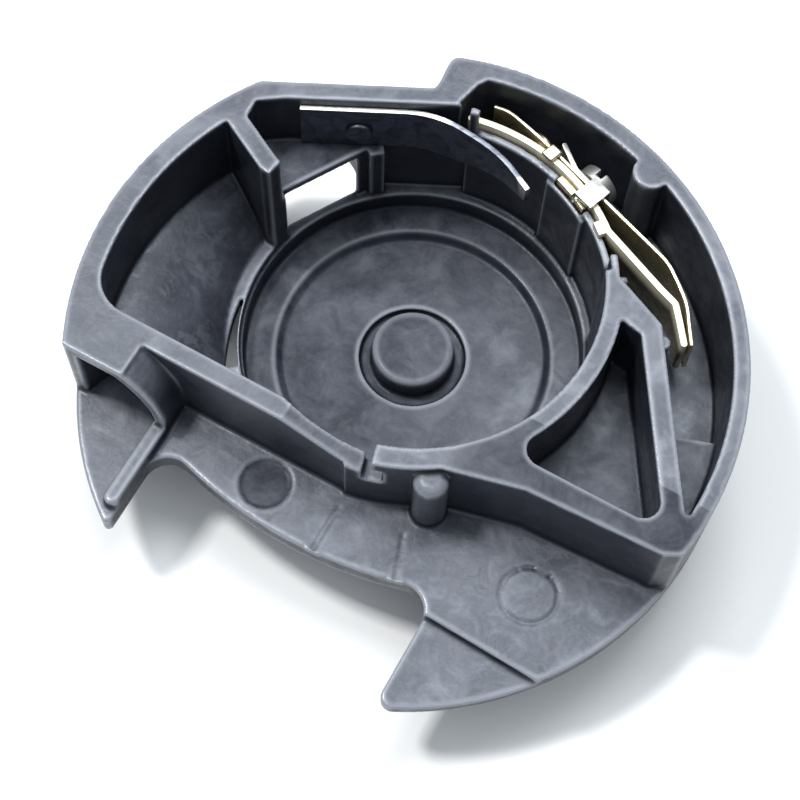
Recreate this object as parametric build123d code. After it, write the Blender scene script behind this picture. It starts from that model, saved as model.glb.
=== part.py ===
from build123d import *
import os
from math import cos, radians, sin

# Drop-in bobbin case of a domestic sewing machine, in millimetres.
# +Z is up, out of the open bay. The origin is on the bobbin's axis, at the
# underside of the bay floor. X runs along the straight front bar.

# Heights above the underside
floor_top = 1.5
disc_drop = 0.45
boss_top = 2.45
ledge_top = 3.1
flange_bottom = 5.4
flange_top = 7.0
horn_drop = 0.55
rim_top = 13.0
above = rim_top + 1.0
shelf_top = 8.3
shelf_bottom = 7.6
partition_top = 10.7
spring_floor = 6.4
step_floor = 8.6
triangle_floor = 7.4
kidney_floor = [(12.1, 3.6), (14.4, 6.15), (18.7, 7.8)]
kidney_floor_thickness = 1.1

# The bobbin bay
bay_radius = 11.2
recess_radius = 11.0
disc_radius = 9.0
disc_foot_radius = 8.55
moat_radius = 3.5
moat_bottom = 0.55
boss_radius = 2.65
cup_radius = 12.5
low_wall_radius = 11.9
thin_wall_radius = 11.32
crescent_reach = 12.2
crescent_start = 184.0
crescent_end = 219.0
partition_inner = 11.6
partition_outer = 12.05

# The outer ring
ring_centre = (1.7, -4.3)
ring_radius = 20.1
left_wall = 1.0
kidney_wall = 1.45
back_wall = 1.25
bar_front = -12.15
bar_inner = -10.85
block_front = -14.4
block_side = -11.6
right_front = -8.6
chord_angle = 27.2
chord_start = (-13.92, 7.43)
chord_wall = 1.2
lug_x = -5.3
lug_inner_x = -3.1
lug_corner = 0.7

# The notch that a stop on the machine reaches into
notch_left = -9.2
notch_right = 9.85
notch_corner = 1.6
left_tip_radius = 0.3
right_tip_radius = 0.7
notch_arc_radius = 28.0
notch_arc_centre = (0.4, 11.5)
horn_step_y = -16.5
ridge_width = 0.9
ridge_height = 0.9
ridge_end = -19.6
hood_top = 12.85
hood_thickness = 0.7

# The rib between the two left pockets
rib_angle = -27.9
rib_root = (-14.95, 3.85)
rib_length = 3.9
rib_thickness = 1.25

# The window in the bay wall
window_angle = 150.0
window_plane = 11.31
window_sill = 11.6
window_start = -2.9
window_end = 2.45

# The triangular pocket and its wall
triangle_slope = -57.7
triangle_top = (13.35, 3.0)
triangle_bottom = -7.3
triangle_wall = 1.3
triangle_inner_radius = 12.35
triangle_corner = 1.0
triangle_top_corner = 0.3
nub = (14.55, 4.3)
nub_radius = 0.45
step_edge = (17.78, 0.16)
step_edge_angle = 18.4

# Marks that the mould's pins and inserts leave on the flange
pin_mark = (-2.4, -14.15)
pin_mark_radius = 1.63
ring_mark = (14.6, -12.5)
ring_mark_radius = 1.7
mark_depth = 0.14
mark_width = 0.22

# Thread slot between the bar's end and the tongue
slot_angle = -74.6
slot_width = 0.6
slot_undercut = 0.7
slot_floor = 10.3
tongue_bottom = 11.9
bar_end_x = 3.3
bar_end_top = 11.2
ramp_length = 5.5
post_angle = -57.4
post_radius = 1.05
post_reach = 12.88
post_top = 12.45
post_rounding = 0.6

# The brake leaf, a springy strip screwed flat to the straight back wall
brake_thickness = 0.35
brake_bottom = 8.4
brake_top = 12.3
brake_tip_bottom = 11.0
brake_start = 1.3
brake_bend = 9.8
brake_bend_radius = 2.4
brake_knee = (0.2, 10.15)
brake_tip = (2.9, 8.68)
brake_pivot_x = -3.6
brake_gap = 0.2
brake_rivet_place = 5.0
brake_rivet_height = 10.1
brake_rivet_radius = 0.5
brake_rivet_head_radius = 0.85
brake_rivet_head = 0.3

# The adjusting screw, square across the tension leaf
screw_foot = (5.72, 11.54)
screw_direction = 70.0
screw_height = 9.6
screw_head_radius = 1.4
screw_head_length = 0.95
screw_slot = 0.4
screw_slot_depth = 0.5
screw_radius = 0.6
screw_clearance = 0.06
screw_end = -1.2
nut_inner = 11.66
nut_outer = 12.12
nut_start = 57.8
nut_end = 70.5
nut_height = 2.6
nut_split = 0.25
seat_inner = 11.56
pad_inner = 11.3
pad_top = 10.4
lock_thickness = 0.3
saddle_bottom = 11.26
saddle_top = 11.56
saddle_place = -0.8
saddle_width = 1.4
saddle_reach = 1.25

# The brass base plate and the thinner tension leaf outside it
strip_bottom = 8.0
strip_top = 11.2
plate_thickness = 0.4
plate_arc_radius = 12.4
plate_arc_start = 103.0
plate_arc_end = 50.0
plate_bends = [(8.3, 9.2), (12.9, 7.2), (14.1, 6.75), (14.9, 5.7), (15.7, 4.6)]
leaf_thickness = 0.25
leaf_left = [(-1.9, 13.6), (-0.9, 13.75), (2.0, 12.89)]
leaf_right = [(12.5, 9.07), (13.7, 8.06), (14.75, 7.05), (15.45, 5.85), (16.15, 4.75)]
leaf_split = 2.75
leaf_gap = 0.22
leaf_rivet_place = 4.35
leaf_tab_place = 2.95
leaf_tab_width = 0.9
leaf_tab_reach = 0.9
hook_angle = 49.5
hook_half_angle = 2.2
hook_inner = 11.75
rivet_radius = 0.6
rivet_head_radius = 1.05
rivet_head = 0.45
leaf_rivet_end = -0.95

# The magnet under the boss
magnet_radius = 1.9
magnet_top = 1.75
magnet_bottom = 0.35
cover_radius = 2.2

# Running sizes for cuts that must reach past the body
far = 40.0


def at_angle(radius, angle, centre=(0.0, 0.0)):
    """Point at a radius and an angle in degrees about a centre."""
    x = centre[0] + radius * cos(radians(angle))
    y = centre[1] + radius * sin(radians(angle))
    return (x, y)


def prism(face, low, high):
    """Upright solid of a plan face between two heights."""
    return extrude(Pos(0, 0, low) * face, high - low)


def plan_polygon(*points):
    """Flat face with the given corners."""
    return make_face(Polyline(*points, close=True))


def sector(inner, outer, start, end):
    """Part of a flat ring about the bobbin's axis, between two angles."""
    middle = (start + end) / 2
    edge = [
        ThreePointArc(at_angle(outer, start), at_angle(outer, middle), at_angle(outer, end)),
        Line(at_angle(outer, end), at_angle(inner, end)),
        ThreePointArc(at_angle(inner, end), at_angle(inner, middle), at_angle(inner, start)),
        Line(at_angle(inner, start), at_angle(outer, start)),
    ]
    return make_face(edge)


def ring_disc(radius):
    """Disc about the outer ring's centre, which lies in front of the bay's."""
    return Pos(*ring_centre) * Circle(radius)


def along(point, angle, distance):
    """Point at a distance from another one, in a direction in degrees."""
    return (point[0] + distance * cos(radians(angle)), point[1] + distance * sin(radians(angle)))


def chord_cut():
    """Plan of what the straight back-left flat and its lug leave off."""
    outer_end = along(chord_start, chord_angle, 9.6)
    return plan_polygon(
        along(chord_start, chord_angle, -far),
        outer_end,
        (lug_x, 12.2),
        (lug_x - 0.15, 13.8),
        (lug_x - 0.15, far),
        (-far, far),
    )


def front_cut():
    """Plan of what lies in front of the block, the bar and the right wall."""
    return plan_polygon(
        (-far, -far),
        (-far, block_front),
        (block_side, block_front),
        (block_side, bar_front),
        (2.0, bar_front),
        (7.3, -10.2),
        (12.0, -9.0),
        (20.5, right_front),
        (far, 2.0),
        (far, -far),
    )


def upper_plan():
    """Outline of the tall part of the case."""
    front_ring = Circle(cup_radius) & Pos(far / 2 + 2.0, 0) * Rectangle(far, far)
    body = ring_disc(ring_radius) - chord_cut() - front_cut()
    return body + front_ring


def flange_plan():
    """Outline of the flange, with its notch and two horns."""
    notch = Pos((notch_left + notch_right) / 2, -far / 2 - 12.0) * Rectangle(notch_right - notch_left, far)
    kept = Pos(*notch_arc_centre) * Circle(notch_arc_radius)
    return ring_disc(ring_radius) - chord_cut() - (notch - kept)


def upright_edges_near(solid, place, reach):
    """A solid's upright edges within a distance of a point in plan."""
    spot = Vector(*place)
    upright = solid.edges().filter_by(Axis.Z)
    return upright.filter_by(lambda edge: (Vector(edge.center().X, edge.center().Y) - spot).length < reach)


def flange():
    """Flange with the notch's inner corners and the horns' tips rounded."""
    plate = prism(flange_plan(), flange_bottom, flange_top)
    for side in (notch_left, notch_right):
        inner = notch_arc_centre[1] - (notch_arc_radius**2 - (side - notch_arc_centre[0]) ** 2) ** 0.5
        plate = fillet(upright_edges_near(plate, (side, inner), 0.5), notch_corner)
    for side, radius in ((notch_left, left_tip_radius), (notch_right, right_tip_radius)):
        tip = ring_centre[1] - (ring_radius**2 - (side - ring_centre[0]) ** 2) ** 0.5
        plate = fillet(upright_edges_near(plate, (side, tip), 0.5), radius)
    return plate


def cup():
    """Round cup that holds the bobbin, below the flange, thinner on the left."""
    full = prism(Circle(cup_radius), 0, flange_bottom + 0.2)
    outside = cup_radius + 1
    low_side = prism(sector(low_wall_radius, outside, 132, crescent_start + 1), -1, flange_top)
    thin_side = prism(sector(thin_wall_radius, outside, crescent_start + 1, crescent_end), -1, flange_top)
    return full - low_side - thin_side


def horn_ridge():
    """Raised lip down the left horn's inner side."""
    middle = (block_front + ridge_end) / 2
    half = ridge_width / 2
    lip = Pos(notch_left - half, middle) * Rectangle(ridge_width, block_front - ridge_end + 0.2)
    lip += Pos(notch_left - half, ridge_end) * Circle(half)
    return prism(lip, flange_top - 0.3, flange_top + ridge_height)


def hood():
    """Curved roof between the block, the bar and the horn's ridge."""
    low = flange_top - 0.2
    outer = notch_left - 0.05
    inner = outer - hood_thickness
    roof = hood_top - hood_thickness
    edge = [
        Line((block_side - 2, hood_top), (block_side, hood_top)),
        ThreePointArc((block_side, hood_top), (block_side + 1.55, hood_top - 1.6), (outer, low + 1.1)),
        Line((outer, low + 1.1), (outer, low)),
        Line((outer, low), (inner, low)),
        Line((inner, low), (inner, low + 1.1)),
        ThreePointArc((inner, low + 1.1), (block_side + 0.95, roof - 1.5), (block_side - 0.6, roof)),
        Line((block_side - 0.6, roof), (block_side - 2, roof)),
        Line((block_side - 2, roof), (block_side - 2, hood_top)),
    ]
    depth = bar_front + 0.1 - block_front
    return extrude(Plane.XZ.offset(-block_front) * make_face(edge), depth, dir=(0, 1, 0))


def post():
    """Rounded post on the wall below the tongue."""
    round_post = Pos(*at_angle(post_reach, post_angle)) * Circle(post_radius)
    upright = prism(round_post, flange_top - 0.3, post_top)
    return fillet(upright.edges().sort_by(Axis.Z)[-1], post_rounding)


def over_kidney_floor(drop):
    """Space above the kidney pocket's rounded floor, which falls away towards the bay."""
    points = [(radius, height - drop) for radius, height in kidney_floor]
    inner, middle, outer = points
    edge = [
        Line((0, inner[1]), inner),
        ThreePointArc(inner, middle, outer),
        Line(outer, (outer[0] + 2, outer[1])),
        Line((outer[0] + 2, outer[1]), (outer[0] + 2, above)),
        Line((outer[0] + 2, above), (0, above)),
        Line((0, above), (0, inner[1])),
    ]
    return revolve(Plane.XZ * make_face(edge), Axis.Z)


def kidney_pocket():
    """Kidney-shaped pocket on the left, open to the bay."""
    rib_left = along(rib_root, rib_angle - 90, rib_thickness / 2)
    outline = ring_disc(ring_radius - kidney_wall) & plan_polygon(
        (-far, bar_inner),
        (3.2, bar_inner),
        (0.0, 0.0),
        along(rib_left, rib_angle, rib_length),
        along(rib_left, rib_angle, -far),
    )
    corner = outline.vertices().sort_by(Axis.Y)[:2].sort_by(Axis.X)[0]
    outline = fillet(corner, 2.6)
    return prism(outline, ledge_top, above) & over_kidney_floor(0)


def kidney_bowl():
    """Floor of the kidney pocket, where it hangs below the flange."""
    hanging = prism(sector(thin_wall_radius - 0.1, 15.5, 166, 238), 0.5, flange_bottom + 0.2)
    return hanging & over_kidney_floor(kidney_floor_thickness)


def crescent():
    """Narrow crescent-shaped opening between the kidney floor and the cup."""
    middle = (crescent_start + crescent_end) / 2
    start = at_angle(thin_wall_radius + 0.02, crescent_start)
    edge = [
        ThreePointArc(start, at_angle(thin_wall_radius, middle), at_angle(thin_wall_radius, crescent_end)),
        Line(at_angle(thin_wall_radius, crescent_end), at_angle(crescent_reach, crescent_end)),
        ThreePointArc(at_angle(crescent_reach, crescent_end), at_angle(crescent_reach - 0.5, middle), start),
    ]
    return prism(make_face(edge), -1, kidney_floor[1][1])


def left_cavity():
    """Pocket between the rib and the straight back wall."""
    rib_right = along(rib_root, rib_angle + 90, rib_thickness / 2)
    wall_line = along(chord_start, chord_angle - 90, chord_wall)
    outline = plan_polygon(
        along(rib_right, rib_angle, 0.3),
        (-14.5, 5.5),
        along(wall_line, chord_angle, 0.4),
        along(wall_line, chord_angle, 10.3),
        (0.0, 0.0),
        along(rib_right, rib_angle, rib_length),
    )
    return prism(outline, shelf_top, above)


def window_space():
    """Flat stretch of the bay wall, and the window through it."""
    turn = Rot(0, 0, window_angle)
    face = turn * Pos(window_plane / 2, 0) * Rectangle(window_plane, 6.2)
    width = window_end - window_start
    # The window's own axis runs back along the wall, so its places change sign.
    opening = turn * Pos(11.5, -(window_start + window_end) / 2) * Rectangle(3.0, width)
    below = turn * Pos(window_sill + 1.0, -(window_start + window_end) / 2) * Rectangle(2.0, width)
    space = prism(face, ledge_top, above) + prism(opening, ledge_top, shelf_bottom)
    return space + prism(below, -1, shelf_bottom)


def back_bay():
    """Bay beside the straight back wall, where the brake leaf lies."""
    wall_line = along(chord_start, chord_angle - 90, chord_wall)
    outline = plan_polygon(
        along(wall_line, chord_angle, 6.5),
        along(wall_line, chord_angle, 12.0),
        (0.0, 0.0),
    )
    return prism(outline, ledge_top, above)


def triangle_wall_line(offset):
    """Ends of the sloping wall's face, moved outwards by an offset."""
    start = along(triangle_top, triangle_slope + 90, offset)
    return along(start, triangle_slope, -0.6), along(start, triangle_slope, 11.2)


def spring_cavity():
    """Curved space behind the partition, where the tension springs lie."""
    wall_top, wall_end = triangle_wall_line(triangle_wall)
    outline = ring_disc(ring_radius - left_wall) & plan_polygon(
        (lug_inner_x - 0.4, 11.6),
        (lug_inner_x, 13.4),
        (lug_inner_x + 0.5, 14.2),
        (-2.3, far),
        (far, far),
        (far, -5.9),
        wall_end,
        wall_top,
        (10.3, 5.9),
        (0.0, 0.0),
    )
    thick_back = ring_disc(ring_radius) - ring_disc(ring_radius - back_wall)
    thick_back = thick_back & Pos(0, 14) * Rectangle(19.0, 12.0)
    lug = Pos(*at_angle(18.95, 67.2, ring_centre)) * Circle(1.15)
    outline = outline - Circle(partition_outer) - thick_back - lug
    deep = prism(outline, spring_floor, above)
    front = Pos(*step_edge) * Rot(0, 0, step_edge_angle) * Pos(0, -far / 2) * Rectangle(far, far)
    return deep - prism(front, 0, step_floor)


def spring_nub():
    """Small upright nub that the base plate's end rests near."""
    return prism(Pos(*nub) * Circle(nub_radius), spring_floor - 0.2, partition_top)


def partition_lip():
    """Small raised corner at the partition's right end."""
    along_wall = prism(sector(partition_inner, partition_outer, 31, 37), 9, strip_top)
    return along_wall + prism(sector(partition_outer - 0.1, 12.8, 31, 33), 9, strip_top)


def partition_space():
    """Bay beside the partition, and the space over its low top."""
    beside = prism(sector(2.0, partition_inner, 31, 103), ledge_top, above)
    over = prism(sector(2.0, partition_outer + 0.3, 36, 100), partition_top, above)
    return beside + over


def triangle_pocket():
    """Triangular pocket between the bay wall and the sloping wall."""
    slope_length = (triangle_bottom - triangle_top[1]) / sin(radians(triangle_slope))
    slope_end = along(triangle_top, triangle_slope, slope_length)
    left_end = ((triangle_inner_radius**2 - triangle_bottom**2) ** 0.5, triangle_bottom)
    outline = plan_polygon((9.0, triangle_bottom), slope_end, triangle_top, (9.0, 3.9))
    space = prism(outline - Circle(triangle_inner_radius), triangle_floor, above)
    space = fillet(upright_edges_near(space, slope_end, 0.5), triangle_corner)
    space = fillet(upright_edges_near(space, left_end, 0.5), triangle_corner)
    space = fillet(upright_edges_near(space, triangle_top, 0.7), triangle_top_corner)
    return space


def thread_slot():
    """Slot that lets the thread drop in, beside the bar's sloping end."""
    turn = Rot(0, 0, slot_angle)
    gap = turn * Pos(12.0, 0) * Rectangle(4.0, slot_width)
    undercut = turn * Pos(12.0, slot_width / 2 + slot_undercut / 2) * Rectangle(4.0, slot_undercut)
    start_x = bar_end_x - ramp_length
    corners = [(start_x, rim_top), (bar_end_x, bar_end_top), (bar_end_x, above), (start_x, above)]
    slope = Plane.XZ * plan_polygon(*corners)
    ramp = extrude(slope, -bar_inner - 0.6, dir=(0, -1, 0)) + extrude(slope, -bar_front + 0.5, dir=(0, -1, 0))
    return prism(gap, slot_floor, above) + prism(undercut, slot_floor, tongue_bottom) + ramp


def flange_marks():
    """Shallow marks in the flange's top face."""
    low = flange_top - mark_depth
    disc = prism(Pos(*pin_mark) * Circle(pin_mark_radius), low, flange_top + 0.1)
    ring = Circle(ring_mark_radius + mark_width / 2) - Circle(ring_mark_radius - mark_width / 2)
    ring = prism(Pos(*ring_mark) * ring, low, flange_top + 0.1)
    line = prism(Pos(2.16, -14.8) * Rectangle(mark_width, 2.9), low, flange_top + 0.1)
    slant = prism(Pos(6.9, -14.4) * Rot(0, 0, 20.9) * Rectangle(mark_width, 3.2), low, flange_top + 0.1)
    return disc + ring + line + slant


def block_pocket():
    """Pocket in the left block, open to the front above the horn."""
    outline = plan_polygon(
        (-15.2, block_front - 1),
        (-14.2, bar_front - 0.3),
        (block_side + 0.4, bar_front - 0.3),
        (block_side + 1.3, block_front - 1),
    )
    return prism(outline, flange_top, hood_top - hood_thickness)


def bay():
    """The bobbin's own space, with its stepped floor."""
    well = prism(Circle(bay_radius), ledge_top, above)
    recess = prism(Circle(recess_radius), floor_top, ledge_top + 0.1)
    step = Pos(0, 0, floor_top - disc_drop / 2) * Cone(disc_foot_radius, disc_radius, disc_drop)
    moat = prism(Circle(moat_radius), moat_bottom, floor_top + 0.1)
    boss = prism(Circle(boss_radius), 0, boss_top)
    boss = fillet(boss.edges().sort_by(Axis.Z)[-1], 0.35)
    return well + recess + step + moat - boss


def horn_step():
    """Lower top face of the right horn."""
    outline = plan_polygon(
        (notch_right - 1, horn_step_y),
        (far, horn_step_y - 1.2),
        (far, -far),
        (notch_right - 1, -far),
    )
    return prism(outline, flange_top - horn_drop, flange_top + 1)


def across_leaf(distance, sideways=0.0):
    """Frame square across the tension leaf, facing outwards.

    Its origin is a distance out from the leaf, and sideways from the adjusting screw.
    """
    foot = along(screw_foot, screw_direction, distance)
    foot = along(foot, screw_direction + 90, sideways)
    out = at_angle(1.0, screw_direction)
    return Plane(origin=(*foot, screw_height), x_dir=(-out[1], out[0], 0), z_dir=(*out, 0))


def nut_seat():
    """Notch in the partition for the split nut."""
    seat = sector(seat_inner, partition_outer + 0.2, nut_start - 0.6, nut_end + 0.6)
    return prism(seat, screw_height - nut_height / 2 - 0.1, above)


def nut_pad():
    """Thicker stretch of the partition, which covers the split nut from the bay."""
    pad = sector(pad_inner, seat_inner, nut_start - 3, nut_end + 3)
    return prism(pad, ledge_top - 0.1, pad_top)


def rod(plane, radius, start, end):
    """Round bar along a frame's axis, between two distances."""
    return extrude(plane.offset(start) * Circle(radius), end - start)


def magnet_hole():
    """Stepped hole under the boss for the magnet and its cover."""
    well = prism(Circle(magnet_radius), -1, magnet_top)
    return well + prism(Circle(cover_radius), -1, magnet_bottom)


def make_case_body():
    """The moulded case, one piece."""
    body = prism(upper_plan(), flange_bottom, rim_top)
    body += flange()
    body += cup() + kidney_bowl()
    body += post()
    body = body - bay() - kidney_pocket() - left_cavity() - window_space()
    body = body - back_bay() - spring_cavity() - partition_space() - triangle_pocket()
    body = body - crescent() - thread_slot() - block_pocket() - horn_step()
    body = body - nut_seat() - magnet_hole() - rod(brake_plane(), brake_rivet_radius, 0, 1.0)
    body = body - flange_marks() + horn_ridge() + hood() + nut_pad() + spring_nub() + partition_lip()
    lug_side = lug_x - 0.15
    lug_end = ring_centre[1] + (ring_radius**2 - (lug_side - ring_centre[0]) ** 2) ** 0.5
    return fillet(upright_edges_near(body, (lug_side, lug_end), 0.3), lug_corner)


def strip(path, thickness, low, high):
    """Upright strip of sheet metal that follows a path in plan."""
    return prism(make_face(offset(path, thickness / 2, side=Side.BOTH)), low, high)


def brake_place(distance):
    """Point on the brake leaf's middle line, along the straight back wall."""
    wall_line = along(chord_start, chord_angle - 90, chord_wall + brake_thickness / 2 + 0.02)
    return along(wall_line, chord_angle, distance)


def brake_plane():
    """Frame on the brake leaf's rivet, facing the wall."""
    foot = brake_place(brake_rivet_place)
    out = at_angle(1.0, chord_angle + 90)
    return Plane(origin=(foot[0], foot[1], brake_rivet_height), x_dir=(-out[1], out[0], 0), z_dir=(*out, 0))


def make_brake_leaf_root():
    """Fixed part of the brake leaf, flat on the wall and round its first bend."""
    near = brake_pivot_x - brake_gap / 2
    points = (brake_place(brake_start), brake_place(brake_bend), brake_knee)
    path = FilletPolyline(*points, radius=brake_bend_radius)
    root = strip(path, brake_thickness, brake_bottom, brake_top)
    root -= Pos(near + far / 2, 0, 10) * Box(far, far, far)
    return root - rod(brake_plane(), brake_rivet_radius, -2, 2)


def make_brake_leaf_arm():
    """Springy part of the brake leaf, narrowing to its tip."""
    near = brake_pivot_x + brake_gap / 2
    past_tip = brake_tip[0] + 0.3
    half_way = (brake_knee[0] + 1.2, brake_bottom + 1.5)
    path = FilletPolyline(brake_place(brake_bend), brake_knee, brake_tip, radius=brake_bend_radius)
    arm = strip(path, brake_thickness, brake_bottom, brake_top)
    arm -= Pos(near - far / 2, 0, 10) * Box(far, far, far)
    side = [
        Line((near - 1, brake_bottom - 1), (near - 1, brake_bottom)),
        Line((near - 1, brake_bottom), (near, brake_bottom)),
        ThreePointArc((near, brake_bottom), half_way, (past_tip, brake_tip_bottom)),
        Line((past_tip, brake_tip_bottom), (past_tip, brake_bottom - 1)),
        Line((past_tip, brake_bottom - 1), (near - 1, brake_bottom - 1)),
    ]
    return arm - extrude(Plane.XZ * make_face(side), far, both=True)


def make_brake_leaf_rivet():
    """Rivet through the brake leaf into the wall."""
    inside = -brake_thickness / 2
    head = rod(brake_plane(), brake_rivet_head_radius, inside - brake_rivet_head, inside)
    towards_wall = Axis(origin=(0, 0, 0), direction=tuple(brake_plane().z_dir))
    head = fillet(head.edges().filter_by(GeomType.CIRCLE).sort_by(towards_wall)[0], 0.2)
    return head + rod(brake_plane(), brake_rivet_radius, inside, 0.98)


def leaf_path_points(distance):
    """Point on the tension leaf's straight stretch, right of the screw."""
    return along(screw_foot, screw_direction - 90, distance)


def over_the_top(place, width, outer, inner):
    """Tab that folds over the strips' top edges, with the riser that carries it."""
    turn = Pos(*along(screw_foot, screw_direction + 90, place)) * Rot(0, 0, screw_direction - 90)
    cover = turn * Pos(0, (outer + inner) / 2) * Rectangle(width, outer - inner)
    riser = turn * Pos(0, outer - leaf_thickness / 2) * Rectangle(width, leaf_thickness)
    return prism(cover, saddle_bottom, saddle_top) + prism(riser, screw_height, saddle_top)


def make_tension_leaf_root():
    """Fixed part of the tension leaf, left of the split."""
    path = FilletPolyline(*leaf_left, leaf_path_points(leaf_split - leaf_gap), radius=0.5)
    root = strip(path, leaf_thickness, strip_bottom, strip_top)
    root -= rod(across_leaf(0, leaf_rivet_place), rivet_radius, -2, 1)
    root += over_the_top(leaf_tab_place, leaf_tab_width, leaf_thickness / 2, -leaf_tab_reach)
    return root - rod(across_leaf(0), screw_radius + screw_clearance, -1, 1)


def make_tension_leaf_arm():
    """Springy part of the tension leaf, which presses on the base plate's end."""
    path = FilletPolyline(leaf_path_points(leaf_split + leaf_gap), *leaf_right, radius=0.6)
    return strip(path, leaf_thickness, strip_bottom, strip_top)


def make_tension_base_plate():
    """Brass plate behind the partition, which carries the leaf and its screws."""
    start = at_angle(plate_arc_radius, plate_arc_start)
    middle = at_angle(plate_arc_radius, (plate_arc_start + plate_arc_end) / 2)
    end = at_angle(plate_arc_radius, plate_arc_end)
    curve = ThreePointArc(start, middle, end)
    tail = FilletPolyline(end, *plate_bends, radius=0.6)
    plate = strip(Wire([curve, *tail.edges()]), plate_thickness, strip_bottom, strip_top)
    hook = sector(hook_inner, plate_arc_radius, hook_angle - hook_half_angle, hook_angle + hook_half_angle)
    plate += prism(hook, partition_top + 0.1, strip_top)
    plate -= rod(across_leaf(0, leaf_rivet_place), rivet_radius, -2, 1)
    return plate - rod(across_leaf(0), screw_radius + screw_clearance, -3, 1)


def make_adjusting_screw():
    """Cheese-headed screw that presses the tension leaf down."""
    seat = leaf_thickness / 2 + lock_thickness + 0.1
    screw = rod(across_leaf(0), screw_head_radius, seat, seat + screw_head_length)
    screw += rod(across_leaf(0), screw_radius, screw_end, seat + 0.1)
    slot = across_leaf(seat + screw_head_length) * Box(screw_slot, 4, 2 * screw_slot_depth)
    return screw - slot


def make_adjusting_nut():
    """Split nut, a curved plate between the partition and the base plate."""
    low = screw_height - nut_height / 2
    block = prism(sector(nut_inner, nut_outer, nut_start, nut_end), low, low + nut_height)
    split = across_leaf(screw_end) * Pos(0, nut_height / 2, 0) * Box(nut_split, nut_height, 2)
    return block - split - rod(across_leaf(0), screw_radius + screw_clearance, -3, 1)


def make_lock_plate():
    """Thin plate under the screw's head, with a tab that stands out to the left."""
    rise = leaf_thickness / 2 + lock_thickness / 2 + 0.03
    right = along(along(screw_foot, screw_direction, rise), screw_direction - 90, 1.3)
    left = along(along(screw_foot, screw_direction, rise), screw_direction + 90, 1.35)
    path = FilletPolyline(right, left, (3.15, 13.5), radius=0.4)
    lock = strip(path, lock_thickness, screw_height - 1.2, screw_height + 1.2)
    lock += over_the_top(saddle_place, saddle_width, rise + lock_thickness / 2, -saddle_reach)
    return lock - rod(across_leaf(0), screw_radius + screw_clearance, -1, 1)


def make_leaf_rivet():
    """Rivet that holds the tension leaf to the base plate."""
    plane = across_leaf(0, leaf_rivet_place)
    seat = leaf_thickness / 2
    head = rod(plane, rivet_head_radius, seat, seat + rivet_head)
    return head + rod(plane, rivet_radius, leaf_rivet_end, seat + 0.1)


def make_magnet():
    """Magnet that holds the case down in the machine's hook race."""
    return prism(Circle(magnet_radius), magnet_bottom, magnet_top)


def make_magnet_cover():
    """Disc that closes the magnet's hole, flush with the underside."""
    return prism(Circle(cover_radius), 0, magnet_bottom)


parts = {
    "case_body": make_case_body(),
    "brake_leaf_root": make_brake_leaf_root(),
    "brake_leaf_arm": make_brake_leaf_arm(),
    "brake_leaf_rivet": make_brake_leaf_rivet(),
    "tension_base_plate": make_tension_base_plate(),
    "tension_leaf_root": make_tension_leaf_root(),
    "tension_leaf_arm": make_tension_leaf_arm(),
    "tension_adjusting_screw": make_adjusting_screw(),
    "adjusting_nut": make_adjusting_nut(),
    "lock_plate": make_lock_plate(),
    "leaf_rivet": make_leaf_rivet(),
    "hook_magnet": make_magnet(),
    "magnet_cover": make_magnet_cover(),
}

os.makedirs("parts", exist_ok=True)
for name, shape in parts.items():
    export_step(shape, "parts/" + name + ".step")
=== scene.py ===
from math import cos, exp, radians, sin

import bmesh
import bpy
import numpy as np
from mathutils import Matrix, Vector


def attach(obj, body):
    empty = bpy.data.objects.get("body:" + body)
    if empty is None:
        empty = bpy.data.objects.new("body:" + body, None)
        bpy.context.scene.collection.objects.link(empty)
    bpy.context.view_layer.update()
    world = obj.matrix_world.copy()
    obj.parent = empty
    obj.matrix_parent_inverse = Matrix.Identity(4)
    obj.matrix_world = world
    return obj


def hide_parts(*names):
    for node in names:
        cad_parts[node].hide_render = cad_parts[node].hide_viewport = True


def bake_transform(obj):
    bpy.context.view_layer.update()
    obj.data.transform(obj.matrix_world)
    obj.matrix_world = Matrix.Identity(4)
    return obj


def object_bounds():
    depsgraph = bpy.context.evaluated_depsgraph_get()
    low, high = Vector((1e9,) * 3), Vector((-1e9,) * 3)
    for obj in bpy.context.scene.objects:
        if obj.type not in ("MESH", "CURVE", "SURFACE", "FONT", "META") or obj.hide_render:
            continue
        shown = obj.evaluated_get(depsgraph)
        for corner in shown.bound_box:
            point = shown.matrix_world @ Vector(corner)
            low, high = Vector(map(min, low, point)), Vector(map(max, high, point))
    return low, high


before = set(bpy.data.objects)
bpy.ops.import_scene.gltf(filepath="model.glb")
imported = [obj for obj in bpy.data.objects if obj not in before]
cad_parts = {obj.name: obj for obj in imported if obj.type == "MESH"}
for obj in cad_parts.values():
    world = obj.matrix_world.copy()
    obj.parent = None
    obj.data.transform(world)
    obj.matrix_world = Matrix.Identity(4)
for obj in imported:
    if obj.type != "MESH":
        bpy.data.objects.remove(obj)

cad_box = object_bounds()

# Drop-in bobbin case. Metres, +Z out of the bay, origin on the bobbin's axis.
MM = 0.001

# Camera, at the photograph's viewing angle
CAMERA_PLACE = Vector((21.43, -44.30, 108.20)) * MM
CAMERA_ELEVATION = radians(66.74)
CAMERA_ROLL = radians(2.93)
CAMERA_TURN = radians(26.585)
LENS = 81.0
SENSOR = 36.0

# Brightness of the sky overhead
SKY_STRENGTH = 1.0

# Voxel sizes for the moulded body's softened edges
BODY_VOXEL = 0.11 * MM

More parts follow.
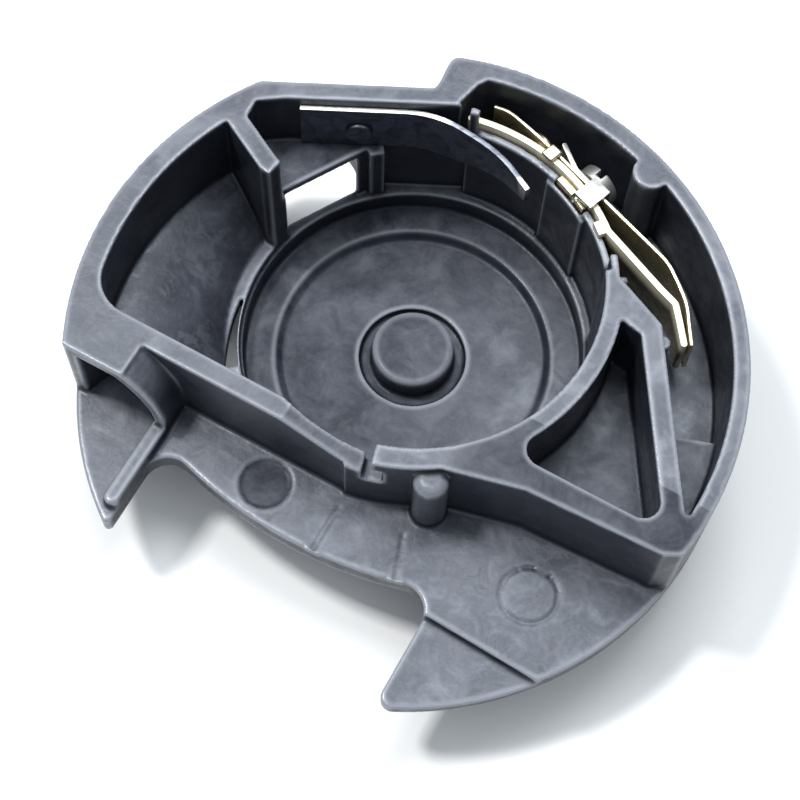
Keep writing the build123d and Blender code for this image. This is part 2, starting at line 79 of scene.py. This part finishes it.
# The flange's shallow marks, in millimetres
FLANGE_TOP = 7.0
FLANGE_REACH = 0.35
FLANGE_BACK = -11.5
MARK_DEPTH = 0.05
MARK_HALF_WIDTH = 0.17
RING_MARK = (14.6, -12.5)
RING_MARK_RADIUS = 1.7
LINE_MARKS = [((2.16, -13.3), (2.16, -16.25)), ((6.35, -12.9), (7.45, -15.9))]

# Where painted shade darkens the plastic, in millimetres and radians
DISC_MARK = (-2.4, -14.15)
DISC_MARK_RADIUS = 1.55
BAY_RADIUS = 11.2
BAY_LIT_SIDE = radians(26.0)
BAY_SHADE = 0.88
BAY_SHADE_CHANGE = 0.5
STEP_MIDDLE = 8.80
STEP_HALF_WIDTH = 0.34
STEP_SHADE_SIDE = radians(75.0)
STEP_SHADE = 0.45
STEP_SHADE_CHANGE = 0.75
DEEP_FLOOR_LOW = 7.2
DEEP_FLOOR_HIGH = 9.2
DEEP_FLOOR_SHADE = 0.7
DEEP_FLOOR_FRONT = -8.0
FINGER_POCKET_RIGHT = -6.0
FINGER_POCKET_TOP = 9.0
FINGER_POCKET_UNSHADED_RADIUS = 15.6
FINGER_POCKET_SHADE_WIDTH = 4.0
BLOCK_BACK = -4.9
BLOCK_LOW = 12.2
BLOCK_SHADE_START = 7.2
BLOCK_SHADE_WIDTH = 1.4

# How the edge masks are made: rounds of smoothing, and the bulge where an edge counts as full
EDGE_ROUNDS = 6
EDGE_FULL = 0.045 * MM
EDGE_LEAST = 0.1
# Upward faces painted lighter than walls, partly dust and partly painted light
DUST_AND_LIGHT_LOW = 0.35
DUST_AND_LIGHT_RANGE = 0.5
# Least upward normal that takes the painted shade
SHADE_UPWARD_LEAST = 0.6

# Spring strips, in millimetres: the middle line in plan, thickness and heights
BRAKE_PATH = [(-12.13, 6.79), (-4.57, 10.67), (0.2, 10.15), (2.9, 8.68)]
BRAKE_THICKNESS = 0.35
BRAKE_LOW = 8.4
BRAKE_HIGH = 12.3
BRAKE_TIP_LOW = 11.0
BRAKE_TAPER_X = -3.6
BRAKE_TIP_X = 2.3
LEAF_PATH = [(-1.9, 13.6), (-0.9, 13.75), (2.0, 12.89), (12.5, 9.07), (13.7, 8.06), (14.75, 7.05),
             (15.45, 5.85), (16.15, 4.75)]
LEAF_THICKNESS = 0.25
LEAF_LOW = 8.0
LEAF_HIGH = 11.2
# Height band of the base plate's painted highlight, in metres
PLATE_HIGHLIGHT_BAND = (0.0100, 0.0108)
LEAF_TAB_CENTRE = (2.84, 12.22)
LEAF_TAB_SIZE = (0.9, 1.02, 0.3)
LEAF_TAB_HEIGHT = 11.41
LEAF_TAB_ROUNDING = 0.13
SCREW_TURN = radians(-20.0)


# ---------------------------------------------------------------- materials

class Shader:
    """A material's node tree, with short calls to build it."""

    def __init__(self, name):
        self.material = bpy.data.materials.new(name)
        self.material.use_nodes = True
        self.tree = self.material.node_tree
        self.surface = self.tree.nodes["Principled BSDF"]
        self.place = self.tree.nodes.new("ShaderNodeTexCoord").outputs["Object"]

    def node(self, kind, **inputs):
        """New node, with inputs given by name as numbers or as other nodes' outputs."""
        made = self.tree.nodes.new(kind)
        for key, value in inputs.items():
            socket = made.inputs[key.replace("_", " ")]
            self.put(socket, value)
        return made

    def put(self, socket, value):
        """Value or output onto a socket."""
        if isinstance(value, bpy.types.NodeSocket):
            self.tree.links.new(value, socket)
        else:
            socket.default_value = value

    def noise(self, scale, detail=4.0, roughness=0.55, distortion=0.0, place=None):
        """Fractal noise, from 0 to 1."""
        made = self.node("ShaderNodeTexNoise", Scale=scale, Detail=detail, Roughness=roughness,
                         Distortion=distortion, Vector=place or self.place)
        return made.outputs["Fac"]

    def stretched(self, scale, turn=(0.0, 0.0, 0.0)):
        """Place, stretched and turned, for streaks."""
        made = self.node("ShaderNodeMapping", Vector=self.place)
        made.inputs["Scale"].default_value = scale
        made.inputs["Rotation"].default_value = turn
        return made.outputs["Vector"]

    def steps(self, value, *stops):
        """Colour or grey ramp, from (position, colour) pairs."""
        made = self.node("ShaderNodeValToRGB", Fac=value)
        ramp = made.color_ramp
        while len(ramp.elements) < len(stops):
            ramp.elements.new(0.5)
        for element, (position, colour) in zip(ramp.elements, stops):
            element.position = position
            if isinstance(colour, (int, float)):
                colour = (colour, colour, colour)
            element.color = (*colour, 1.0)
        return made.outputs["Color"]

    def mix(self, share, first, second):
        """Two colours mixed."""
        made = self.tree.nodes.new("ShaderNodeMix")
        made.data_type = "RGBA"
        self.put(made.inputs[0], share)
        for socket, value in ((made.inputs[6], first), (made.inputs[7], second)):
            if isinstance(value, tuple):
                value = (*value, 1.0)
            self.put(socket, value)
        return made.outputs[2]

    def math(self, kind, first, second=0.0):
        """One sum on numbers."""
        made = self.tree.nodes.new("ShaderNodeMath")
        made.operation = kind
        self.put(made.inputs[0], first)
        self.put(made.inputs[1], second)
        return made.outputs[0]

    def mask(self, name):
        """One of the masks kept on a piece's points, such as wear."""
        made = self.tree.nodes.new("ShaderNodeAttribute")
        made.attribute_name = name
        return made.outputs["Fac"]

    def height_band(self, low, high):
        """0 below one height and 1 above another, in metres, in the piece's own frame."""
        split = self.node("ShaderNodeSeparateXYZ")
        self.put(split.inputs["Vector"], self.place)
        made = self.node("ShaderNodeMapRange")
        self.put(made.inputs["Value"], split.outputs["Z"])
        made.inputs["From Min"].default_value = low
        made.inputs["From Max"].default_value = high
        return made.outputs["Result"]

    def bump(self, height, strength, distance, normal=None):
        """Bump from a height."""
        made = self.node("ShaderNodeBump", Height=height, Strength=strength, Distance=distance)
        if normal is not None:
            self.put(made.inputs["Normal"], normal)
        return made.outputs["Normal"]


def case_plastic():
    """Slate moulded plastic: stains and scuffs; upward faces lighter, partly dust and partly painted light;
    walls darker, partly painted shade; pale glossy edges, partly abrasion and partly painted highlight;
    painted shade in creases and at listed places.
    """
    s = Shader("case_plastic")
    cloud = s.noise(230, 7, 0.62, 0.7)
    base = s.steps(
        cloud,
        (0.36, (0.038, 0.042, 0.056)),
        (0.50, (0.064, 0.068, 0.086)),
        (0.58, (0.092, 0.098, 0.118)),
        (0.70, (0.145, 0.152, 0.174)),
    )
    stain = s.noise(560, 6, 0.62, 0.8)
    base = s.mix(s.steps(stain, (0.53, 0.0), (0.60, 0.40), (0.64, 0.1)), base, (0.150, 0.156, 0.178))
    fine = s.noise(2300, 4, 0.7, 0.4)
    base = s.mix(s.steps(fine, (0.52, 0.0), (0.74, 0.35)), base, (0.140, 0.146, 0.166))
    smear = s.noise(1.0, 5, 0.65, 0.6, s.stretched((380, 1300, 380), (0.3, 0.2, 0.9)))
    base = s.mix(s.steps(smear, (0.58, 0.0), (0.74, 0.40)), base, (0.160, 0.168, 0.190))
    scratch = s.noise(1.0, 2, 0.5, 0.2, s.stretched((300, 7000, 300), (0.0, 0.0, 0.62)))
    scratches = s.steps(scratch, (0.73, 0.0), (0.79, 0.25))
    base = s.mix(scratches, base, (0.20, 0.21, 0.23))
    # Painted shade: darker, mottled and less glossy where its mask is set.
    spots = s.noise(420, 7, 0.68, 0.5)
    painted_shade_colour = s.steps(spots, (0.40, (0.008, 0.010, 0.018)), (0.64, (0.070, 0.075, 0.091)))
    base = s.mix(s.math("MULTIPLY", s.mask("painted_shade"), 0.75), base, painted_shade_colour)
    # Walls get this darker base, free of dust and painted as in shade; upward faces keep the lighter base,
    # partly dust and partly painted light.
    clean_and_shaded = s.steps(cloud, (0.36, (0.006, 0.008, 0.014)), (0.66, (0.020, 0.023, 0.034)))
    base = s.mix(s.mask("dust_and_top_light"), clean_and_shaded, base)
    # Pale, glossier edges: partly abrasion, partly painted highlight.
    edge_wear_and_highlight = s.mask("wear_and_highlight")
    base = s.mix(s.math("MULTIPLY", edge_wear_and_highlight, 0.85), base, (0.27, 0.285, 0.32))
    # Painted shade in creases and in the bay floor's step.
    base = s.mix(s.math("MULTIPLY", s.mask("crease_shade"), 0.85), base, (0.006, 0.008, 0.014))
    s.put(s.surface.inputs["Base Color"], base)
    rough = s.steps(stain, (0.36, 0.33), (0.64, 0.54))
    rough = s.mix(scratches, rough, (0.62, 0.62, 0.62))
    rough = s.mix(edge_wear_and_highlight, rough, (0.26, 0.26, 0.26))
    s.put(s.surface.inputs["Roughness"], rough)
    # Less sheen under the painted shade.
    sheen = s.math("MULTIPLY", s.mask("painted_shade"), -0.42)
    s.put(s.surface.inputs["Specular IOR Level"], s.math("ADD", sheen, 0.62))
    s.surface.inputs["Specular Tint"].default_value = (0.88, 0.93, 1.0, 1.0)
    grain = s.bump(s.noise(5200, 3, 0.6), 0.20, 0.00004)
    swell = s.bump(s.noise(600, 3, 0.5), 0.40, 0.00015, grain)
    scuffs = s.bump(scratches, -0.2, 0.00003, swell)
    s.put(s.surface.inputs["Normal"], scuffs)
    return s.material


def sheet_metal(name, pale, dark, edge, rough_low, rough_high, highlight_low=None, highlight_high=None):
    """Rolled spring sheet: fine lines along it, faint stains, and a painted highlight where its edge mask is
    set.

    A sheet with a painted highlight band has it between two heights, in metres.
    """
    s = Shader(name)
    lines = s.noise(1.0, 3, 0.6, 0.1, s.stretched((240, 240, 9000)))
    cloud = s.noise(700, 5, 0.65, 1.8)
    base = s.steps(cloud, (0.36, dark), (0.60, pale))
    base = s.mix(s.steps(lines, (0.40, 0.0), (0.70, 0.35)), base, tuple(0.72 * c for c in pale))
    # Painted highlight where the edge mask is set.
    base = s.mix(s.mask("wear_and_highlight"), base, edge)
    rough = s.steps(cloud, (0.3, rough_high), (0.7, rough_low))
    if highlight_low is None:
        s.surface.inputs["Metallic"].default_value = 1.0
    else:
        # Painted highlight band: paler, rougher and less metallic.
        band = s.height_band(highlight_low, highlight_high)
        base = s.mix(band, base, edge)
        rough = s.mix(band, rough, (0.5, 0.5, 0.5))
        s.put(s.surface.inputs["Metallic"], s.math("SUBTRACT", 1.0, s.math("MULTIPLY", band, 0.55)))
    s.put(s.surface.inputs["Base Color"], base)
    s.put(s.surface.inputs["Roughness"], rough)
    s.put(s.surface.inputs["Normal"], s.bump(lines, 0.22, 0.00002, s.bump(cloud, 0.25, 0.00004)))
    return s.material


def screw_metal():
    """Dull nickel-plated steel, turned, with small pits."""
    s = Shader("screw_steel")
    cloud = s.noise(1400, 4, 0.6, 0.8)
    pits = s.noise(4200, 3, 0.7)
    base = s.steps(cloud, (0.30, (0.34, 0.34, 0.33)), (0.70, (0.62, 0.62, 0.59)))
    base = s.mix(s.steps(pits, (0.62, 0.0), (0.72, 0.6)), base, (0.16, 0.16, 0.16))
    s.put(s.surface.inputs["Base Color"], base)
    s.surface.inputs["Metallic"].default_value = 0.9
    s.put(s.surface.inputs["Roughness"], s.steps(cloud, (0.3, 0.50), (0.7, 0.36)))
    s.put(s.surface.inputs["Normal"], s.bump(pits, 0.25, 0.00003))
    return s.material


def magnet_dark():
    """Dark sintered magnet."""
    s = Shader("magnet")
    cloud = s.noise(1800, 5, 0.7)
    base = s.steps(cloud, (0.3, (0.05, 0.05, 0.055)), (0.7, (0.16, 0.16, 0.17)))
    s.put(s.surface.inputs["Base Color"], base)
    s.surface.inputs["Metallic"].default_value = 0.6
    s.put(s.surface.inputs["Roughness"], s.steps(cloud, (0.3, 0.7), (0.7, 0.5)))
    s.put(s.surface.inputs["Normal"], s.bump(cloud, 0.3, 0.00005))
    return s.material


def paper_floor():
    """Pale floor with a faint, even grain."""
    s = Shader("paper_floor")
    cloud = s.noise(60, 4, 0.6)
    base = s.steps(cloud, (0.3, (0.86, 0.87, 0.87)), (0.7, (0.89, 0.89, 0.885)))
    s.put(s.surface.inputs["Base Color"], base)
    s.surface.inputs["Roughness"].default_value = 0.85
    s.surface.inputs["Specular IOR Level"].default_value = 0.1
    return s.material


def paint(piece, material):
    """One material on a piece."""
    piece.data.materials.clear()
    piece.data.materials.append(material)
    for face in piece.data.polygons:
        face.material_index = 0


# ------------------------------------------------------------------- shapes

def copy_of(node, name):
    """New object with a CAD node's mesh, its split points joined."""
    made = bmesh.new()
    made.from_mesh(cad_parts[node].data)
    bmesh.ops.remove_doubles(made, verts=made.verts, dist=0.002 * MM)
    mesh = bpy.data.meshes.new(name)
    made.to_mesh(mesh)
    made.free()
    piece = bpy.data.objects.new(name, mesh)
    bpy.context.scene.collection.objects.link(piece)
    return piece


def apply_modifiers(piece):
    """Final mesh of a piece, with its modifiers gone."""
    bpy.context.view_layer.update()
    graph = bpy.context.evaluated_depsgraph_get()
    final = bpy.data.meshes.new_from_object(piece.evaluated_get(graph))
    piece.modifiers.clear()
    piece.data = final


def shade_smooth(piece, angle=None):
    """Smooth shading, with edges sharper than an angle kept where it is given."""
    for face in piece.data.polygons:
        face.use_smooth = True
    if angle is not None:
        piece.data.set_sharp_from_angle(angle=radians(angle))


def neighbour_mean(values, ends, counts):
    """Mean of each point's neighbours, along the mesh's edges."""
    total = np.zeros_like(values)
    for first, second in ((0, 1), (1, 0)):
        for axis in range(values.shape[1]):
            total[:, axis] += np.bincount(ends[:, first], values[ends[:, second], axis], len(values))
    return total / counts[:, None]


def mesh_numbers(mesh):
    """Places and normals of a mesh's points, and the two ends of each edge."""
    places = np.empty(len(mesh.vertices) * 3, np.float32)
    mesh.vertices.foreach_get("co", places)
    normals = np.empty(len(mesh.vertices) * 3, np.float32)
    mesh.vertex_normals.foreach_get("vector", normals)
    ends = np.empty(len(mesh.edges) * 2, np.int32)
    mesh.edges.foreach_get("vertices", ends)
    return places.reshape(-1, 3).astype(float), normals.reshape(-1, 3), ends.reshape(-1, 2)


def blurred(values, ends, counts, rounds):
    """Values spread a little along the mesh's edges."""
    for _ in range(rounds):
        values = (values + neighbour_mean(values, ends, counts)) / 2
    return values


def plastic_masks(piece):
    """Masks of the plastic: outer edges, partly abrasion and partly painted highlight; inner edges and the
    bay floor's step, painted shade; upward faces, partly dust and partly painted light; and painted shade at
    listed places.
    """
    mesh = piece.data
    places, normals, ends = mesh_numbers(mesh)
    counts = np.maximum(np.bincount(ends.ravel(), minlength=len(places)), 1)
    relaxed = places
    for _ in range(EDGE_ROUNDS):
        relaxed = neighbour_mean(relaxed, ends, counts)
    bulge = ((places - relaxed) * normals).sum(1)[:, None] / EDGE_FULL
    bulge = blurred(bulge, ends, counts, 2)[:, 0]
    upward = blurred(normals[:, 2:3], ends, counts, 2)[:, 0]
    x, y, z = (places / MM).T
    # Below the least bulge is only the mesh's own unevenness.
    edge_range = 1.0 - EDGE_LEAST
    keep_mask(mesh, "wear_and_highlight", (bulge - EDGE_LEAST) / edge_range)
    keep_mask(mesh, "crease_shade", np.maximum((-bulge - EDGE_LEAST) / edge_range, step_shade(x, y, z)))
    keep_mask(mesh, "dust_and_top_light", (upward - DUST_AND_LIGHT_LOW) / DUST_AND_LIGHT_RANGE)
    keep_mask(mesh, "painted_shade", np.where(upward > SHADE_UPWARD_LEAST, painted_shade_amount(x, y, z), 0.0))


def step_shade(x, y, z):
    """Painted shade in the step of the bay's floor, darker on one side."""
    step = 1.0 - np.abs(np.hypot(x, y) - STEP_MIDDLE) / STEP_HALF_WIDTH
    step_shade_share = STEP_SHADE + STEP_SHADE_CHANGE * np.cos(np.arctan2(y, x) - STEP_SHADE_SIDE)
    return np.where(z < FLANGE_TOP, np.clip(2.0 * step, 0.0, 1.0) * step_shade_share, 0.0)


def painted_shade_amount(x, y, z):
    """How much painted shade darkens each place, on upward faces."""
    radius = np.hypot(x, y)
    in_bay = radius < BAY_RADIUS
    # Painted shade on the bay floor, less of it towards one side, as if lit from there.
    rightward = (x * cos(BAY_LIT_SIDE) + y * sin(BAY_LIT_SIDE)) / BAY_RADIUS
    on_insert = np.hypot(x - DISC_MARK[0], y - DISC_MARK[1]) < DISC_MARK_RADIUS
    # The insert's disc mark is painted dark, as a shaded recess.
    painted_shade = np.where(on_insert, 1.0, 0.0)
    painted_shade = np.where(in_bay & (z < FLANGE_TOP), BAY_SHADE - BAY_SHADE_CHANGE * rightward, painted_shade)
    # The deep floor gets painted shade.
    deep_floor = (x > 0.0) & (y > DEEP_FLOOR_FRONT) & (z > DEEP_FLOOR_LOW) & (z < DEEP_FLOOR_HIGH)
    painted_shade = np.where(deep_floor, DEEP_FLOOR_SHADE, painted_shade)
    # The finger pocket's floor gets painted shade towards the bay.
    in_pocket = (x < FINGER_POCKET_RIGHT) & (y > DEEP_FLOOR_FRONT) & ~in_bay
    in_pocket = in_pocket & (z > FLANGE_TOP) & (z < FINGER_POCKET_TOP)
    painted_shade = np.where(in_pocket, (FINGER_POCKET_UNSHADED_RADIUS - radius) / FINGER_POCKET_SHADE_WIDTH, painted_shade)
    # The front block's top gets painted shade to the right of its tongue.
    on_block = (y < BLOCK_BACK) & (z > BLOCK_LOW)
    return np.where(on_block, np.minimum((x - BLOCK_SHADE_START) / BLOCK_SHADE_WIDTH, 1.0), painted_shade)


def keep_mask(mesh, name, values):
    """One value from 0 to 1 on each of a mesh's points."""
    attribute = mesh.attributes.new(name, "FLOAT", "POINT")
    attribute.data.foreach_set("value", np.clip(values, 0.0, 1.0).astype(np.float32))


def press_marks(piece):
    """Ring and lines of the mould's inserts, pressed smoothly into the flange's top."""
    for vertex in piece.data.vertices:
        x, y, z = vertex.co / MM
        if abs(z - FLANGE_TOP) > FLANGE_REACH or y > FLANGE_BACK:
            continue
        reach = abs(((x - RING_MARK[0]) ** 2 + (y - RING_MARK[1]) ** 2) ** 0.5 - RING_MARK_RADIUS)
        for start, end in LINE_MARKS:
            along = Vector(end) - Vector(start)
            share = (Vector((x, y)) - Vector(start)).dot(along) / along.length_squared
            nearest = Vector(start) + min(max(share, 0.0), 1.0) * along
            reach = min(reach, (Vector((x, y)) - nearest).length)
        if reach < 3 * MARK_HALF_WIDTH:
            vertex.co.z = (FLANGE_TOP - MARK_DEPTH * exp(-(reach / MARK_HALF_WIDTH) ** 2)) * MM


def softened(node, name, voxel, rounds):
    """Copy of a moulded solid with all of its edges softly rounded."""
    piece = copy_of(node, name)
    remesh = piece.modifiers.new("remesh", "REMESH")
    remesh.mode = "VOXEL"
    remesh.voxel_size = voxel
    smooth = piece.modifiers.new("smooth", "SMOOTH")
    smooth.factor = 0.5
    smooth.iterations = rounds
    apply_modifiers(piece)
    press_marks(piece)
    shade_smooth(piece)
    return piece


def bevelled(node, name, width):
    """Copy of a machined or stamped node with rounded edges."""
    piece = copy_of(node, name)
    merge = bmesh.new()
    merge.from_mesh(piece.data)
    flat = radians(1.0)
    bmesh.ops.dissolve_limit(merge, angle_limit=flat, verts=merge.verts, edges=merge.edges)
    merge.to_mesh(piece.data)
    merge.free()
    add_bevel(piece, width)
    return piece


def add_bevel(piece, width, segments=3, angle=32):
    """Rounded edges on a piece, with its mesh then final."""
    bevel = piece.modifiers.new("bevel", "BEVEL")
    bevel.width = width
    bevel.segments = segments
    bevel.limit_method = "ANGLE"
    bevel.angle_limit = radians(angle)
    apply_modifiers(piece)
    shade_smooth(piece, 35)


def smooth_line(points, rounding, steps=6):
    """Plan path with each corner rounded by a curve."""
    points = [Vector(p) for p in points]
    line = [points[0]]
    for before, corner, after in zip(points, points[1:], points[2:]):
        back = min(rounding, (before - corner).length / 2.1)
        ahead = min(rounding, (after - corner).length / 2.1)
        start = corner + (before - corner).normalized() * back
        end = corner + (after - corner).normalized() * ahead
        for step in range(steps + 1):
            share = step / steps
            line.append(start.lerp(corner, share).lerp(corner.lerp(end, share), share))
    line.append(points[-1])
    return line


def filled_in(line, spacing):
    """Path with extra points on its long straight runs."""
    full = [line[0]]
    for point in line[1:]:
        count = max(1, int((point - full[-1]).length / spacing))
        start = full[-1]
        full += [start.lerp(point, (step + 1) / count) for step in range(count)]
    return full


def strip_piece(name, path, thickness, low_at, high, rounding, edge, edge_highlight):
    """Upright sheet strip along a plan path, in millimetres, with soft edges.

    low_at gives the lower edge's height at a place on the path, edge says how round the edges
    are, and the last function how bright a painted highlight makes the upper edge and the face just under it
    at a place.
    """
    line = filled_in(smooth_line(path, rounding), 0.5)
    made = bmesh.new()
    rings = []
    bright = []
    half = thickness / 2
    corner = edge * thickness
    for index, point in enumerate(line):
        along = (line[min(index + 1, len(line) - 1)] - line[max(index - 1, 0)]).normalized()
        side = Vector((-along.y, along.x))
        low = low_at(point)
        ring = []
        for out, height, turn in ((1, high, 0), (-1, high, 90), (-1, low, 180), (1, low, 270)):
            inward = 1 if height == high else -1
            for step in range(4):
                angle = radians(turn + 30 * step)
                across = out * (half - corner) + corner * cos(angle)
                up = height - inward * corner + corner * sin(angle)
                ring.append(made.verts.new((*(point + side * across) * MM, up * MM)))
                # Painted highlight on the upper edge and the face just under it.
                bright.append(edge_highlight(point, up > high - 0.7 * corner) if height == high else 0.0)
        rings.append(ring)
    for first, second in zip(rings, rings[1:]):
        for index in range(len(first)):
            after = (index + 1) % len(first)
            made.faces.new((first[index], first[after], second[after], second[index]))
    made.faces.new(list(reversed(rings[0])))
    made.faces.new(rings[-1])
    bmesh.ops.recalc_face_normals(made, faces=made.faces)
    mesh = bpy.data.meshes.new(name)
    made.to_mesh(mesh)
    made.free()
    keep_mask(mesh, "wear_and_highlight", np.array(bright))
    piece = bpy.data.objects.new(name, mesh)
    bpy.context.scene.collection.objects.link(piece)
    shade_smooth(piece, 40)
    return piece


def block_piece(name, centre, size, turn, rounding):
    """Small block with rounded edges, in millimetres."""
    made = bmesh.new()
    bmesh.ops.create_cube(made, size=1.0)
    place = Matrix.Translation(Vector(centre) * MM) @ Matrix.Rotation(turn, 4, "Z")
    made.transform(place @ Matrix.Diagonal((*(Vector(size) * MM), 1.0)))
    mesh = bpy.data.meshes.new(name)
    made.to_mesh(mesh)
    made.free()
    piece = bpy.data.objects.new(name, mesh)
    bpy.context.scene.collection.objects.link(piece)
    add_bevel(piece, rounding * MM, 4)
    return piece


# -------------------------------------------------------------------- pieces

plastic = case_plastic()
steel = sheet_metal("brake_steel", (0.20, 0.21, 0.25), (0.09, 0.095, 0.12), (0.95, 0.94, 0.89), 0.34, 0.50)
silver = sheet_metal("spring_steel", (0.62, 0.61, 0.57), (0.34, 0.34, 0.33), (0.80, 0.78, 0.72), 0.28, 0.46)
brass = sheet_metal("brass_sheet", (0.74, 0.67, 0.48), (0.44, 0.38, 0.26), (0.82, 0.76, 0.56), 0.24, 0.42)
plate_brass = sheet_metal(
    "brass_plate", (0.72, 0.66, 0.48), (0.38, 0.34, 0.24), (0.80, 0.75, 0.57), 0.26, 0.42, *PLATE_HIGHLIGHT_BAND
)
nickel = screw_metal()


def brake_low(point):
    """Lower edge of the brake strip: level, then rising in a curve to the tip."""
    share = (point.x - BRAKE_TAPER_X) / (BRAKE_PATH[-1][0] - BRAKE_TAPER_X)
    share = min(max(share, 0.0), 1.0)
    return BRAKE_LOW + (BRAKE_TIP_LOW - BRAKE_LOW) * share ** 1.15


def leaf_low(_point):
    """Lower edge of the tension strip, level all along."""
    return LEAF_LOW


def brake_highlight(point, on_edge):
    """Brake strip: painted highlight on its root's upper edge, none on the arm, and the tip with its face
    painted bright.
    """
    if point.x > BRAKE_TIP_X:
        return 1.0
    return 1.0 if on_edge and point.x < BRAKE_TAPER_X else 0.0


def leaf_highlight(_point, on_edge):
    """Tension strip: painted highlight on the upper edge all along."""
    return 1.0 if on_edge else 0.0


def spring_strips():
    """The two spring strips, each in one piece across its bend."""
    brake = strip_piece(
        "brake_strip", BRAKE_PATH, BRAKE_THICKNESS, brake_low, BRAKE_HIGH, 2.0, 0.12, brake_highlight
    )
    paint(brake, steel)
    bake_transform(brake)
    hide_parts("brake_leaf_root", "brake_leaf_arm")
    leaf = strip_piece("tension_strip", LEAF_PATH, LEAF_THICKNESS, leaf_low, LEAF_HIGH, 0.7, 0.3, leaf_highlight)
    paint(leaf, brass)
    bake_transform(leaf)
    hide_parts("tension_leaf_root", "tension_leaf_arm")
    tab_centre = (*LEAF_TAB_CENTRE, LEAF_TAB_HEIGHT)
    tab = block_piece("tension_strip_tab", tab_centre, LEAF_TAB_SIZE, SCREW_TURN, LEAF_TAB_ROUNDING)
    paint(tab, brass)
    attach(tab, "case")


def moulded_body():
    """The moulded case, with soft edges and its masks of abrasion, painted highlight, dust, painted light and
    painted shade.
    """
    body = softened("case_body", "moulded_case", BODY_VOXEL, 3)
    plastic_masks(body)
    paint(body, plastic)
    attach(body, "case")
    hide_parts("case_body")


def small_parts():
    """The stamped and turned parts, with rounded edges."""
    rows = [
        # piece, node, material, slot, body, rounding
        ("brake_rivet_head", "brake_leaf_rivet", steel, "spring_steel", "case", 0.05),
        ("base_plate", "tension_base_plate", plate_brass, "brass_sheet", "case", 0.12),
        ("tension_rivet", "leaf_rivet", brass, "brass_sheet", "case", 0.12),
        ("split_nut", "adjusting_nut", brass, "brass_sheet", "case", 0.08),
        ("screw_lock_plate", "lock_plate", silver, "spring_steel", "case", 0.07),
        ("tension_screw_head", "tension_adjusting_screw", nickel, "screw_steel", "tension_screw", 0.12),
        ("magnet_disc", "hook_magnet", magnet_dark(), "magnet", "case", 0.12),
        ("magnet_cover_disc", "magnet_cover", plastic, "case_plastic", "case", 0.08),
    ]
    for name, node, material, slot, rides_on, rounding in rows:
        piece = bevelled(node, name, rounding * MM)
        paint(piece, material)
        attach(piece, rides_on)
        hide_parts(node)


moulded_body()
spring_strips()
small_parts()


# ----------------------------------------------------- floor, light, camera

def make_floor():
    """Wide pale floor under the case."""
    low = cad_box[0][2]
    made = bmesh.new()
    bmesh.ops.create_grid(made, x_segments=8, y_segments=8, size=0.9)
    mesh = bpy.data.meshes.new("floor")
    made.to_mesh(mesh)
    made.free()
    floor = bpy.data.objects.new("floor", mesh)
    floor.location = (0.0, 0.0, low - 0.02 * MM)
    bpy.context.scene.collection.objects.link(floor)
    floor.data.materials.append(paper_floor())


def make_light(name, place, aim, size, power, colour):
    """Soft square light that looks at a point."""
    light = bpy.data.lights.new(name, "AREA")
    light.shape = "SQUARE"
    light.size = size
    light.energy = power
    light.color = colour
    made = bpy.data.objects.new(name, light)
    made.location = place
    made.rotation_euler = (Vector(aim) - Vector(place)).to_track_quat("-Z", "Y").to_euler()
    bpy.context.scene.collection.objects.link(made)


def make_camera():
    """Camera where the photograph was taken from."""
    el, roll = CAMERA_ELEVATION, CAMERA_ROLL
    back = Vector((0.0, -cos(el), sin(el)))
    right = Vector((1.0, 0.0, 0.0))
    up = back.cross(right)
    rolled_right = cos(roll) * right + sin(roll) * up
    rolled_up = cos(roll) * up - sin(roll) * right
    turn = Matrix.Rotation(CAMERA_TURN, 3, "Z")
    axes = Matrix([turn @ rolled_right, turn @ rolled_up, turn @ back]).transposed()
    data = bpy.data.cameras.new("camera")
    data.lens = LENS
    data.sensor_width = SENSOR
    data.clip_start = 0.005
    camera = bpy.data.objects.new("camera", data)
    camera.matrix_world = Matrix.LocRotScale(CAMERA_PLACE, axes.to_quaternion(), None)
    bpy.context.scene.collection.objects.link(camera)
    bpy.context.scene.camera = camera


def make_world():
    """Sky like a bright ceiling over a dim room, with a pale skirting at the horizon."""
    world = bpy.data.worlds.new("studio")
    world.use_nodes = True
    tree = world.node_tree
    direction = tree.nodes.new("ShaderNodeTexCoord").outputs["Generated"]
    split = tree.nodes.new("ShaderNodeSeparateXYZ")
    tree.links.new(direction, split.inputs["Vector"])
    ramp = tree.nodes.new("ShaderNodeValToRGB")
    stops = ((0.0, 1.0), (0.06, 1.0), (0.12, 0.10), (0.45, 0.14), (0.80, 0.92), (1.0, 1.0))
    while len(ramp.color_ramp.elements) < len(stops):
        ramp.color_ramp.elements.new(0.5)
    for element, (place, level) in zip(ramp.color_ramp.elements, stops):
        element.position = place
        element.color = (0.88 * level, 0.94 * level, level, 1.0)
    tree.links.new(split.outputs["Z"], ramp.inputs["Fac"])
    background = tree.nodes["Background"]
    tree.links.new(ramp.outputs["Color"], background.inputs["Color"])
    background.inputs["Strength"].default_value = SKY_STRENGTH
    bpy.context.scene.world = world


make_floor()
make_world()
# The photograph's light comes from the upper left of the picture.
make_light("key", (-0.182, -0.026, 0.378), (0.0, 0.0, 0.0), 0.06, 1.2, (1.0, 0.99, 0.98))
make_light("top", (-0.03, 0.15, 0.38), (0.0, 0.0, 0.0), 0.19, 0.95, (0.94, 0.97, 1.0))
make_camera()
bpy.context.scene.view_settings.view_transform = "Standard"

bpy.context.view_layer.update()
